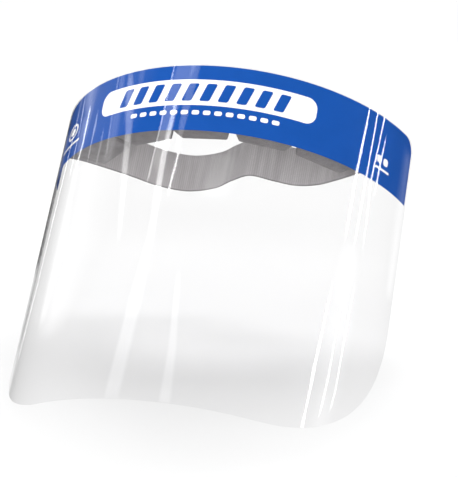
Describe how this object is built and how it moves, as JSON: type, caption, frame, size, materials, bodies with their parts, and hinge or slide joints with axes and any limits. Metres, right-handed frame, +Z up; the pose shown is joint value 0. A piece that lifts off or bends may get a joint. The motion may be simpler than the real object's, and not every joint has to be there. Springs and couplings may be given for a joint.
{
  "type": "face shield",
  "caption": "Clear curved face shield with a printed header band, a notched foam forehead strip and a wide elastic head strap that stretches and swings.",
  "frame": {"origin": "centre of the foam strip's middle block, on the face that touches the forehead", "axes": "+Z up as worn; -Y forward, the way the wearer looks; +X to the right for someone who faces the shield"},
  "size_m": [0.2364, 0.1042, 0.22],
  "materials": {
    "clear_sheet": "clear glossy film",
    "blue_ink": "flat printed ink seen through glossy film",
    "white_ink": "flat printed ink seen through glossy film",
    "foam": "open-cell foam, matte",
    "tape": "double-sided adhesive tape",
    "elastic": "ribbed woven elastic"
  },
  "bodies": {
    "visor": {"visor_sheet": "clear_sheet", "header_print": "blue_ink", "name_panel_print": "white_ink", "name_line_print": "blue_ink", "ring_mark_print": "white_ink", "side_bar_print": "white_ink", "forehead_foam": "foam", "foam_tape": "tape", "strap_tape_left": "tape", "strap_tape_right": "tape", "strap_end_left": "elastic", "strap_end_right": "elastic"},
    "strap": {"strap_left_run": "elastic", "strap_right_run": "elastic"},
    "strap_loop": {"strap_back": "elastic"}
  },
  "joints": [
    {"name": "strap_swing", "type": "hinge", "parent": "visor", "child": "strap", "pos_m": [0, 0.034, 0], "axis": [1, 0, 0], "range_deg": [-30, 30], "stiffness_Nm_per_rad": 0.05, "springref_deg": 2.86},
    {"name": "strap_stretch", "type": "slide", "parent": "strap", "child": "strap_loop", "axis": [0, 1, 0], "range_m": [0, 0.11], "stiffness_N_per_m": 60, "deforming": ["strap_left_run", "strap_right_run"]}
  ]
}
